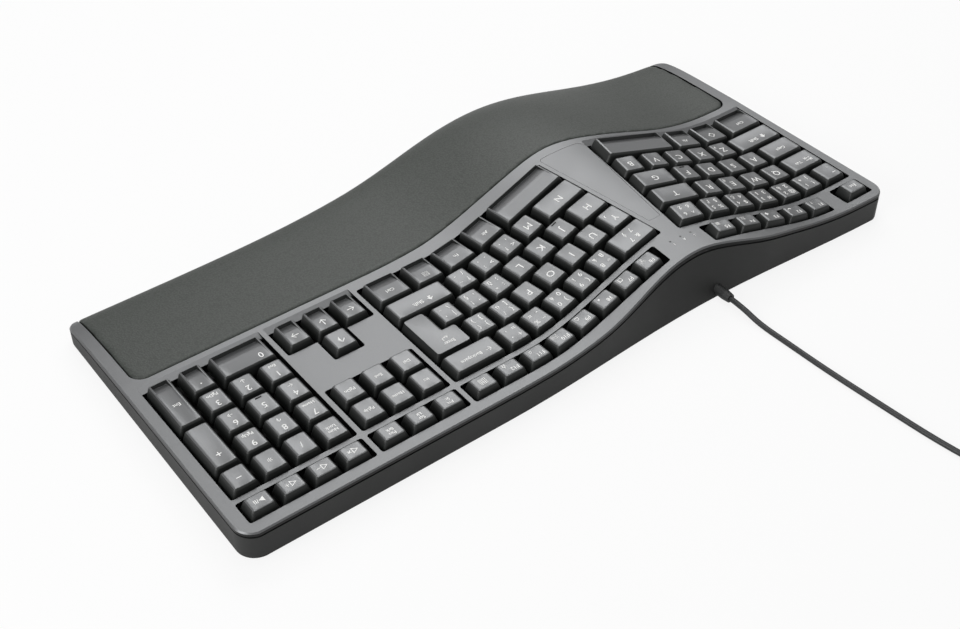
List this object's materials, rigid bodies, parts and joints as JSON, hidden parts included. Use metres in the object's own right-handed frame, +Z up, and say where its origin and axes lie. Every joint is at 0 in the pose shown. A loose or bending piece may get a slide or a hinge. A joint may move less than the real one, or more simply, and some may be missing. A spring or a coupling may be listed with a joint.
{
  "type": "ergonomic keyboard",
  "caption": "Full-size wired keyboard with a raised split key field, short-row function keys, number pad and a padded palm rest along the front.",
  "frame": {"origin": "on the table below the middle of the case's outline", "axes": "+X to the typist's right along the length, +Y to the back edge where the lead leaves, +Z up from the table"},
  "size_m": [0.4778, 0.5032, 0.0425],
  "materials": {
    "case_plastic": "black textured moulding",
    "cover_plastic": "grey satin paint on a plastic moulding",
    "foam": "soft foam",
    "leatherette": "fine-grained black-grey leatherette",
    "trim_plastic": "grey satin paint",
    "frame_plastic": "black moulding",
    "dome_rubber": "translucent white silicone",
    "membrane_film": "printed polyester film",
    "plate_steel": "zinc-plated sheet steel",
    "board": "green solder mask",
    "lens_plastic": "smoked light pipe",
    "screw_steel": "black zinc steel",
    "foot_rubber": "black rubber",
    "lead_sheath": "black flexible PVC",
    "tie_plastic": "black plastic",
    "plug_plastic": "black moulded plug",
    "keycap_plastic": "black ABS, silver-grey coated tops"
  },
  "bodies": {
    "case": {"bottom_case": "case_plastic", "top_cover": "cover_plastic", "palm_rest_foam": "foam", "palm_rest_pad": "leatherette", "center_trim": "trim_plastic", "key_frame": "frame_plastic", "rubber_domes": "dome_rubber", "membrane_sheet": "membrane_film", "backing_plate": "plate_steel", "controller_pcb": "board", "indicator_lenses": "lens_plastic", "case_screws": "screw_steel", "rubber_feet": "foot_rubber", "strain_relief": "lead_sheath", "usb_cord": "lead_sheath", "cord_coil": "lead_sheath", "cord_tie": "tie_plastic", "usb_plug": "plug_plastic"},
    "left_foot": {"tilt_foot_left": "case_plastic"},
    "right_foot": {"tilt_foot_right": "case_plastic"},
    "function_keys_right_bank": {"function_keys_right": "keycap_plastic"},
    "function_keys_left_bank": {"function_keys_left": "keycap_plastic"},
    "esc_key": {"esc_key": "keycap_plastic"},
    "backspace_key": {"backspace_key": "keycap_plastic"},
    "number_keys_right_bank": {"number_keys_right": "keycap_plastic"},
    "number_keys_left_bank": {"number_keys_left": "keycap_plastic"},
    "enter_key": {"enter_key": "keycap_plastic"},
    "top_letters_right_bank": {"top_letters_right": "keycap_plastic"},
    "tab_key": {"tab_key": "keycap_plastic"},
    "top_letters_left_bank": {"top_letters_left": "keycap_plastic"},
    "home_letters_right_bank": {"home_letters_right": "keycap_plastic"},
    "caps_key": {"caps_key": "keycap_plastic"},
    "home_letters_left_bank": {"home_letters_left": "keycap_plastic"},
    "shift_key_right": {"shift_key_right": "keycap_plastic"},
    "lower_letters_right_bank": {"lower_letters_right": "keycap_plastic"},
    "shift_key_left": {"shift_key_left": "keycap_plastic"},
    "lower_letters_left_bank": {"lower_letters_left": "keycap_plastic"},
    "ctrl_key_right": {"ctrl_key_right": "keycap_plastic"},
    "fn_menu_keys_bank": {"fn_menu_keys": "keycap_plastic"},
    "alt_key_right": {"alt_key_right": "keycap_plastic"},
    "space_key_right": {"space_key_right": "keycap_plastic"},
    "ctrl_key_left": {"ctrl_key_left": "keycap_plastic"},
    "system_key": {"system_key": "keycap_plastic"},
    "alt_key_left": {"alt_key_left": "keycap_plastic"},
    "space_key_left": {"space_key_left": "keycap_plastic"},
    "nav_keys_bank": {"nav_keys": "keycap_plastic"},
    "print_keys_bank": {"print_keys": "keycap_plastic"},
    "media_keys_bank": {"media_keys": "keycap_plastic"},
    "numpad_top_row_bank": {"numpad_top_row": "keycap_plastic"},
    "numpad_row_789_bank": {"numpad_row_789": "keycap_plastic"},
    "numpad_row_456_bank": {"numpad_row_456": "keycap_plastic"},
    "numpad_row_123_bank": {"numpad_row_123": "keycap_plastic"},
    "numpad_plus_key": {"numpad_plus_key": "keycap_plastic"},
    "numpad_enter_key": {"numpad_enter_key": "keycap_plastic"},
    "numpad_zero_key": {"numpad_zero_key": "keycap_plastic"},
    "numpad_point_key": {"numpad_point_key": "keycap_plastic"},
    "arrow_up_key": {"arrow_up_key": "keycap_plastic"},
    "arrow_left_key": {"arrow_left_key": "keycap_plastic"},
    "arrow_down_key": {"arrow_down_key": "keycap_plastic"},
    "arrow_right_key": {"arrow_right_key": "keycap_plastic"}
  },
  "joints": [
    {"name": "function_right_press", "type": "slide", "parent": "case", "child": "function_keys_right_bank", "axis": [0.0946, -0.0063, 0.9955], "range_m": [-0.003, 0], "stiffness_N_per_m": 480, "springref_m": 0.004, "deforming": ["rubber_domes"]},
    {"name": "function_left_press", "type": "slide", "parent": "case", "child": "function_keys_left_bank", "axis": [-0.1502, 0.0038, 0.9886], "range_m": [-0.003, 0], "stiffness_N_per_m": 300, "springref_m": 0.004, "deforming": ["rubber_domes"]},
    {"name": "esc_press", "type": "slide", "parent": "case", "child": "esc_key", "axis": [0, -0.02, 0.9998], "range_m": [-0.003, 0], "stiffness_N_per_m": 60, "springref_m": 0.004, "deforming": ["rubber_domes"]},
    {"name": "backspace_press", "type": "slide", "parent": "case", "child": "backspace_key", "axis": [0, -0.02, 0.9998], "range_m": [-0.003, 0], "stiffness_N_per_m": 60, "springref_m": 0.004, "deforming": ["rubber_domes"]},
    {"name": "number_right_press", "type": "slide", "parent": "case", "child": "number_keys_right_bank", "axis": [0.13, -0.0013, 0.9915], "range_m": [-0.003, 0], "stiffness_N_per_m": 360, "springref_m": 0.004, "deforming": ["rubber_domes"]},
    {"name": "number_left_press", "type": "slide", "parent": "case", "child": "number_keys_left_bank", "axis": [-0.1187, -0.0005, 0.9929], "range_m": [-0.003, 0], "stiffness_N_per_m": 420, "springref_m": 0.004, "deforming": ["rubber_domes"]},
    {"name": "enter_press", "type": "slide", "parent": "case", "child": "enter_key", "axis": [0, -0.02, 0.9998], "range_m": [-0.003, 0], "stiffness_N_per_m": 60, "springref_m": 0.004, "deforming": ["rubber_domes"]},
    {"name": "top_letters_right_press", "type": "slide", "parent": "case", "child": "top_letters_right_bank", "axis": [0.1297, -0.001, 0.9916], "range_m": [-0.003, 0], "stiffness_N_per_m": 420, "springref_m": 0.004, "deforming": ["rubber_domes"]},
    {"name": "tab_press", "type": "slide", "parent": "case", "child": "tab_key", "axis": [0, -0.02, 0.9998], "range_m": [-0.003, 0], "stiffness_N_per_m": 60, "springref_m": 0.004, "deforming": ["rubber_domes"]},
    {"name": "top_letters_left_press", "type": "slide", "parent": "case", "child": "top_letters_left_bank", "axis": [-0.1618, 0.0021, 0.9868], "range_m": [-0.003, 0], "stiffness_N_per_m": 300, "springref_m": 0.004, "deforming": ["rubber_domes"]},
    {"name": "home_letters_right_press", "type": "slide", "parent": "case", "child": "home_letters_right_bank", "axis": [0.1261, -0.0042, 0.992], "range_m": [-0.003, 0], "stiffness_N_per_m": 420, "springref_m": 0.004, "deforming": ["rubber_domes"]},
    {"name": "caps_press", "type": "slide", "parent": "case", "child": "caps_key", "axis": [0, -0.02, 0.9998], "range_m": [-0.003, 0], "stiffness_N_per_m": 60, "springref_m": 0.004, "deforming": ["rubber_domes"]},
    {"name": "home_letters_left_press", "type": "slide", "parent": "case", "child": "home_letters_left_bank", "axis": [-0.1721, 0.0025, 0.9851], "range_m": [-0.003, 0], "stiffness_N_per_m": 300, "springref_m": 0.004, "deforming": ["rubber_domes"]},
    {"name": "shift_right_press", "type": "slide", "parent": "case", "child": "shift_key_right", "axis": [0, -0.02, 0.9998], "range_m": [-0.003, 0], "stiffness_N_per_m": 60, "springref_m": 0.004, "deforming": ["rubber_domes"]},
    {"name": "lower_letters_right_press", "type": "slide", "parent": "case", "child": "lower_letters_right_bank", "axis": [0.1641, -0.0032, 0.9864], "range_m": [-0.003, 0], "stiffness_N_per_m": 300, "springref_m": 0.004, "deforming": ["rubber_domes"]},
    {"name": "shift_left_press", "type": "slide", "parent": "case", "child": "shift_key_left", "axis": [-0.0004, -0.02, 0.9998], "range_m": [-0.003, 0], "stiffness_N_per_m": 60, "springref_m": 0.004, "deforming": ["rubber_domes"]},
    {"name": "lower_letters_left_press", "type": "slide", "parent": "case", "child": "lower_letters_left_bank", "axis": [-0.1872, 0.0065, 0.9823], "range_m": [-0.003, 0], "stiffness_N_per_m": 300, "springref_m": 0.004, "deforming": ["rubber_domes"]},
    {"name": "ctrl_right_press", "type": "slide", "parent": "case", "child": "ctrl_key_right", "axis": [0, -0.02, 0.9998], "range_m": [-0.003, 0], "stiffness_N_per_m": 60, "springref_m": 0.004, "deforming": ["rubber_domes"]},
    {"name": "fn_menu_press", "type": "slide", "parent": "case", "child": "fn_menu_keys_bank", "axis": [0.0505, -0.0189, 0.9985], "range_m": [-0.003, 0], "stiffness_N_per_m": 120, "springref_m": 0.004, "deforming": ["rubber_domes"]},
    {"name": "alt_right_press", "type": "slide", "parent": "case", "child": "alt_key_right", "axis": [0.212, -0.0077, 0.9772], "range_m": [-0.003, 0], "stiffness_N_per_m": 60, "springref_m": 0.004, "deforming": ["rubber_domes"]},
    {"name": "space_right_press", "type": "slide", "parent": "case", "child": "space_key_right", "axis": [0.2299, 0.014, 0.9731], "range_m": [-0.003, 0], "stiffness_N_per_m": 60, "springref_m": 0.004, "deforming": ["rubber_domes"]},
    {"name": "ctrl_left_press", "type": "slide", "parent": "case", "child": "ctrl_key_left", "axis": [0, -0.02, 0.9998], "range_m": [-0.003, 0], "stiffness_N_per_m": 60, "springref_m": 0.004, "deforming": ["rubber_domes"]},
    {"name": "system_press", "type": "slide", "parent": "case", "child": "system_key", "axis": [-0.1305, -0.0161, 0.9913], "range_m": [-0.003, 0], "stiffness_N_per_m": 60, "springref_m": 0.004, "deforming": ["rubber_domes"]},
    {"name": "alt_left_press", "type": "slide", "parent": "case", "child": "alt_key_left", "axis": [-0.222, -0.0054, 0.975], "range_m": [-0.003, 0], "stiffness_N_per_m": 60, "springref_m": 0.004, "deforming": ["rubber_domes"]},
    {"name": "space_left_press", "type": "slide", "parent": "case", "child": "space_key_left", "axis": [-0.2134, 0.0171, 0.9768], "range_m": [-0.003, 0], "stiffness_N_per_m": 60, "springref_m": 0.004, "deforming": ["rubber_domes"]},
    {"name": "nav_press", "type": "slide", "parent": "case", "child": "nav_keys_bank", "axis": [0, -0.02, 0.9998], "range_m": [-0.003, 0], "stiffness_N_per_m": 360, "springref_m": 0.004, "deforming": ["rubber_domes"]},
    {"name": "print_press", "type": "slide", "parent": "case", "child": "print_keys_bank", "axis": [0, -0.02, 0.9998], "range_m": [-0.003, 0], "stiffness_N_per_m": 180, "springref_m": 0.004, "deforming": ["rubber_domes"]},
    {"name": "media_press", "type": "slide", "parent": "case", "child": "media_keys_bank", "axis": [0, -0.02, 0.9998], "range_m": [-0.003, 0], "stiffness_N_per_m": 240, "springref_m": 0.004, "deforming": ["rubber_domes"]},
    {"name": "numpad_top_row_press", "type": "slide", "parent": "case", "child": "numpad_top_row_bank", "axis": [0, -0.02, 0.9998], "range_m": [-0.003, 0], "stiffness_N_per_m": 240, "springref_m": 0.004, "deforming": ["rubber_domes"]},
    {"name": "numpad_row_789_press", "type": "slide", "parent": "case", "child": "numpad_row_789_bank", "axis": [0, -0.02, 0.9998], "range_m": [-0.003, 0], "stiffness_N_per_m": 180, "springref_m": 0.004, "deforming": ["rubber_domes"]},
    {"name": "numpad_row_456_press", "type": "slide", "parent": "case", "child": "numpad_row_456_bank", "axis": [0, -0.02, 0.9998], "range_m": [-0.003, 0], "stiffness_N_per_m": 180, "springref_m": 0.004, "deforming": ["rubber_domes"]},
    {"name": "numpad_row_123_press", "type": "slide", "parent": "case", "child": "numpad_row_123_bank", "axis": [0, -0.02, 0.9998], "range_m": [-0.003, 0], "stiffness_N_per_m": 180, "springref_m": 0.004, "deforming": ["rubber_domes"]},
    {"name": "numpad_plus_press", "type": "slide", "parent": "case", "child": "numpad_plus_key", "axis": [0, -0.02, 0.9998], "range_m": [-0.003, 0], "stiffness_N_per_m": 60, "springref_m": 0.004, "deforming": ["rubber_domes"]},
    {"name": "numpad_enter_press", "type": "slide", "parent": "case", "child": "numpad_enter_key", "axis": [0, -0.02, 0.9998], "range_m": [-0.003, 0], "stiffness_N_per_m": 60, "springref_m": 0.004, "deforming": ["rubber_domes"]},
    {"name": "numpad_zero_press", "type": "slide", "parent": "case", "child": "numpad_zero_key", "axis": [0, -0.02, 0.9998], "range_m": [-0.003, 0], "stiffness_N_per_m": 60, "springref_m": 0.004, "deforming": ["rubber_domes"]},
    {"name": "numpad_point_press", "type": "slide", "parent": "case", "child": "numpad_point_key", "axis": [0, -0.02, 0.9998], "range_m": [-0.003, 0], "stiffness_N_per_m": 60, "springref_m": 0.004, "deforming": ["rubber_domes"]},
    {"name": "arrow_up_press", "type": "slide", "parent": "case", "child": "arrow_up_key", "axis": [0, -0.02, 0.9998], "range_m": [-0.003, 0], "stiffness_N_per_m": 60, "springref_m": 0.004, "deforming": ["rubber_domes"]},
    {"name": "arrow_left_press", "type": "slide", "parent": "case", "child": "arrow_left_key", "axis": [0, -0.02, 0.9998], "range_m": [-0.003, 0], "stiffness_N_per_m": 60, "springref_m": 0.004, "deforming": ["rubber_domes"]},
    {"name": "arrow_down_press", "type": "slide", "parent": "case", "child": "arrow_down_key", "axis": [0, -0.02, 0.9998], "range_m": [-0.003, 0], "stiffness_N_per_m": 60, "springref_m": 0.004, "deforming": ["rubber_domes"]},
    {"name": "arrow_right_press", "type": "slide", "parent": "case", "child": "arrow_right_key", "axis": [0, -0.02, 0.9998], "range_m": [-0.003, 0], "stiffness_N_per_m": 60, "springref_m": 0.004, "deforming": ["rubber_domes"]},
    {"name": "left_foot_hinge", "type": "hinge", "parent": "case", "child": "left_foot", "pos_m": [-0.175, 0.104, 0.0028], "axis": [1, 0, 0], "range_deg": [0, 80]},
    {"name": "right_foot_hinge", "type": "hinge", "parent": "case", "child": "right_foot", "pos_m": [0.175, 0.104, 0.0028], "axis": [1, 0, 0], "range_deg": [0, 80]}
  ]
}
